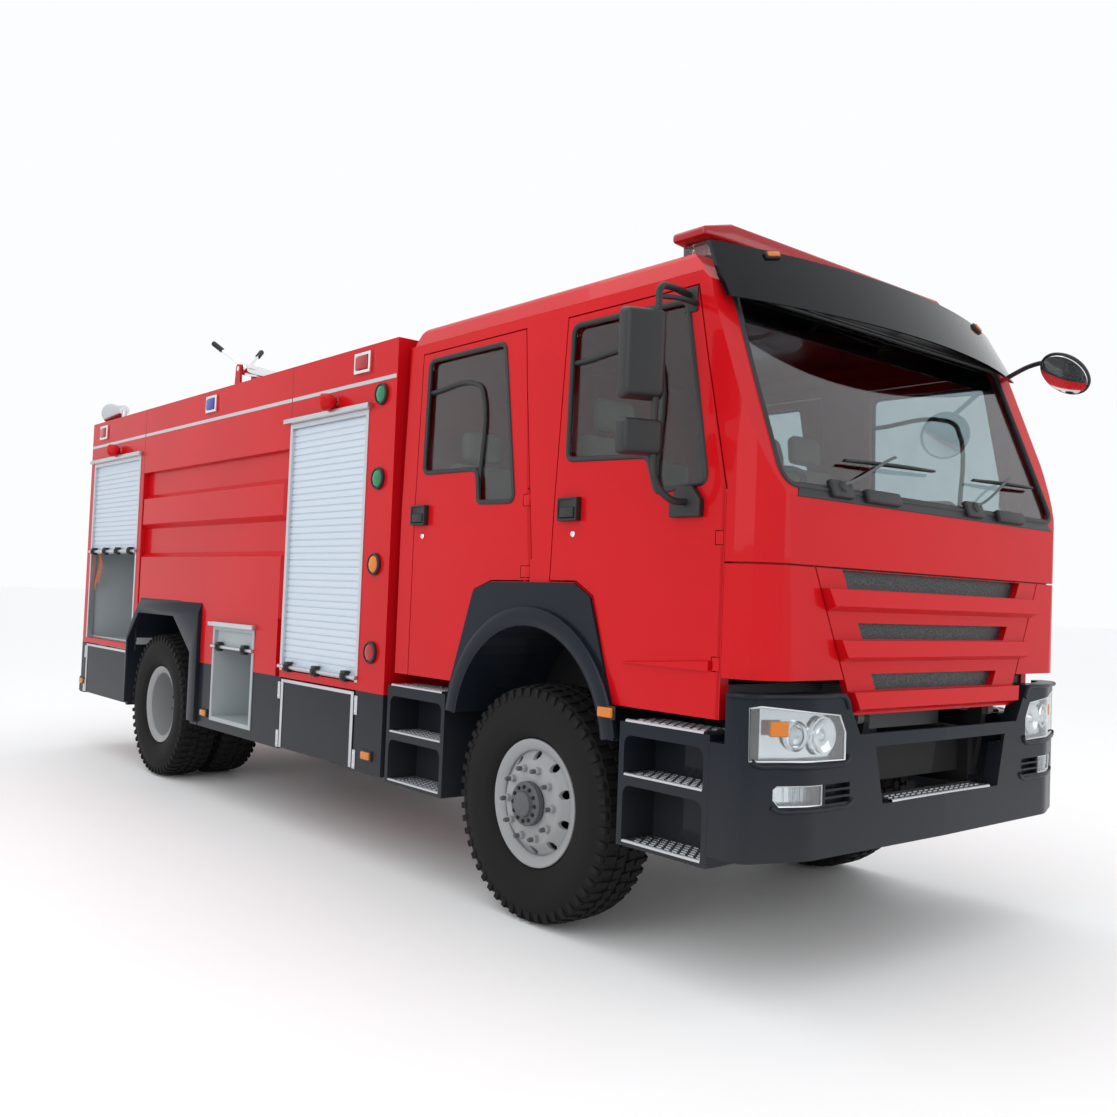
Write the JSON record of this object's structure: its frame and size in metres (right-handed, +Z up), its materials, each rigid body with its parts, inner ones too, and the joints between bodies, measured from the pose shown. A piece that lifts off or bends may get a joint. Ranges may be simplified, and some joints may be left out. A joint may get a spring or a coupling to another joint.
{
  "type": "fire truck",
  "caption": "Red crew-cab pumper fire truck with twin rear wheels, roller-shutter lockers, fold-down step flaps, a tilting cab with hinged doors, and a swivelling roof water cannon.",
  "frame": {"origin": "on the floor, under the middle of the whole truck", "axes": "+Z up; the truck faces -Y; its right-hand side is -X"},
  "size_m": [3.1224, 8.1981, 3.8989],
  "materials": {
    "chassis_black": "semi-gloss chassis paint",
    "engine_grey": "dull cast metal",
    "aluminium": "mill finish",
    "tyre_rubber": "matt rubber",
    "rim_silver": "silver wheel paint",
    "slate_grey": "satin slate grey paint",
    "lamp_plastic": "clear and coloured lenses",
    "fire_red": "gloss red paint",
    "shutter_grey": "anodised slats",
    "monitor_chrome": "plated tube",
    "cab_grey": "grained trim",
    "black_plastic": "fine grain",
    "visor_dark": "smoked acrylic",
    "beacon_red": "red lens",
    "seat_cloth": "woven cover",
    "glass": "tinted clear"
  },
  "bodies": {
    "chassis": {"chassis_frame": "chassis_black", "front_axle": "chassis_black", "rear_axle": "chassis_black", "leaf_springs": "chassis_black", "engine_block": "engine_grey", "fuel_tank": "aluminium", "bumper": "slate_grey", "lamps": "lamp_plastic", "cab_steps": "slate_grey", "step_treads": "aluminium", "front_locker": "fire_red", "tank_body": "fire_red", "rear_locker": "fire_red", "skirts": "slate_grey", "wheel_arches": "slate_grey", "outlet_boxes": "aluminium", "shutters": "shutter_grey", "shutter_rails": "aluminium", "ladder": "aluminium", "monitor_base": "fire_red"},
    "cab": {"cab_frame": "fire_red", "cab_roof": "fire_red", "cab_floor": "cab_grey", "front_panels": "fire_red", "grille_mesh": "black_plastic", "windscreen": "glass", "sun_visor": "visor_dark", "light_bar": "beacon_red", "wipers": "black_plastic", "seats": "seat_cloth", "dashboard": "cab_grey", "front_mirror": "black_plastic", "wheel_flares": "slate_grey"},
    "monitor_pan_body": {"monitor_swivel": "fire_red"},
    "monitor_barrel_body": {"monitor_barrel": "monitor_chrome"},
    "knuckle_right_body": {"knuckle_right": "chassis_black"},
    "front_wheel_right": {"tyre_front_right": "tyre_rubber", "rim_front_right": "rim_silver"},
    "rear_wheels_right": {"tyres_rear_right": "tyre_rubber", "rims_rear_right": "rim_silver"},
    "front_door_right": {"door_front_right": "fire_red", "glass_front_right": "glass", "mirrors_right": "black_plastic"},
    "rear_door_right": {"door_rear_right": "fire_red", "glass_rear_right": "glass"},
    "front_flap_right": {"flap_front_right": "slate_grey"},
    "rear_flap_right": {"flap_rear_right": "slate_grey"},
    "knuckle_left_body": {"knuckle_left": "chassis_black"},
    "front_wheel_left": {"tyre_front_left": "tyre_rubber", "rim_front_left": "rim_silver"},
    "rear_wheels_left": {"tyres_rear_left": "tyre_rubber", "rims_rear_left": "rim_silver"},
    "front_door_left": {"door_front_left": "fire_red", "glass_front_left": "glass", "mirrors_left": "black_plastic"},
    "rear_door_left": {"door_rear_left": "fire_red", "glass_rear_left": "glass"},
    "front_flap_left": {"flap_front_left": "slate_grey"},
    "rear_flap_left": {"flap_rear_left": "slate_grey"}
  },
  "joints": [
    {"name": "cab_tilt", "type": "hinge", "parent": "chassis", "child": "cab", "pos_m": [0, -3.891, 1.085], "axis": [1, 0, 0], "range_deg": [0, 45]},
    {"name": "front_flap_right_hinge", "type": "hinge", "parent": "chassis", "child": "front_flap_right", "pos_m": [-1.228, -0.516, 0.516], "axis": [0, -1, 0], "range_deg": [0, 90]},
    {"name": "rear_flap_right_hinge", "type": "hinge", "parent": "chassis", "child": "rear_flap_right", "pos_m": [-1.228, 3.349, 0.516], "axis": [0, -1, 0], "range_deg": [0, 90]},
    {"name": "front_door_right_hinge", "type": "hinge", "parent": "cab", "child": "front_door_right", "pos_m": [-1.205, -3.714, 1.55], "axis": [0, 0, 1], "range_deg": [0, 70]},
    {"name": "rear_door_right_hinge", "type": "hinge", "parent": "cab", "child": "rear_door_right", "pos_m": [-1.205, -2.476, 1.8], "axis": [0, 0, 1], "range_deg": [0, 70]},
    {"name": "steer_right", "type": "hinge", "parent": "chassis", "child": "knuckle_right_body", "pos_m": [-0.89, -2.551, 0.56], "axis": [0, 0, 1], "range_deg": [-35, 35]},
    {"name": "front_wheel_right_spin", "type": "hinge", "parent": "knuckle_right_body", "child": "front_wheel_right", "pos_m": [-1.048, -2.551, 0.56], "axis": [1, 0, 0], "continuous": true},
    {"name": "rear_wheels_right_spin", "type": "hinge", "parent": "chassis", "child": "rear_wheels_right", "pos_m": [-0.907, 2.149, 0.56], "axis": [1, 0, 0], "continuous": true},
    {"name": "front_flap_left_hinge", "type": "hinge", "parent": "chassis", "child": "front_flap_left", "pos_m": [1.228, -0.516, 0.516], "axis": [0, 1, 0], "range_deg": [0, 90]},
    {"name": "rear_flap_left_hinge", "type": "hinge", "parent": "chassis", "child": "rear_flap_left", "pos_m": [1.228, 3.349, 0.516], "axis": [0, 1, 0], "range_deg": [0, 90]},
    {"name": "front_door_left_hinge", "type": "hinge", "parent": "cab", "child": "front_door_left", "pos_m": [1.205, -3.714, 1.55], "axis": [0, 0, -1], "range_deg": [0, 70]},
    {"name": "rear_door_left_hinge", "type": "hinge", "parent": "cab", "child": "rear_door_left", "pos_m": [1.205, -2.476, 1.8], "axis": [0, 0, -1], "range_deg": [0, 70]},
    {"name": "steer_left", "type": "hinge", "parent": "chassis", "child": "knuckle_left_body", "pos_m": [0.89, -2.551, 0.56], "axis": [0, 0, 1], "range_deg": [-35, 35]},
    {"name": "front_wheel_left_spin", "type": "hinge", "parent": "knuckle_left_body", "child": "front_wheel_left", "pos_m": [1.048, -2.551, 0.56], "axis": [1, 0, 0], "continuous": true},
    {"name": "rear_wheels_left_spin", "type": "hinge", "parent": "chassis", "child": "rear_wheels_left", "pos_m": [0.907, 2.149, 0.56], "axis": [1, 0, 0], "continuous": true},
    {"name": "monitor_pan", "type": "hinge", "parent": "chassis", "child": "monitor_pan_body", "pos_m": [0, 3.529, 3.25], "axis": [0, 0, 1], "continuous": true},
    {"name": "monitor_elevation", "type": "hinge", "parent": "monitor_pan_body", "child": "monitor_barrel_body", "pos_m": [0, 3.529, 3.625], "axis": [-1, 0, 0], "range_deg": [0, 75]}
  ],
  "couplings": [
    {"joint": "steer_right", "follows": "steer_left", "ratio": 1}
  ]
}
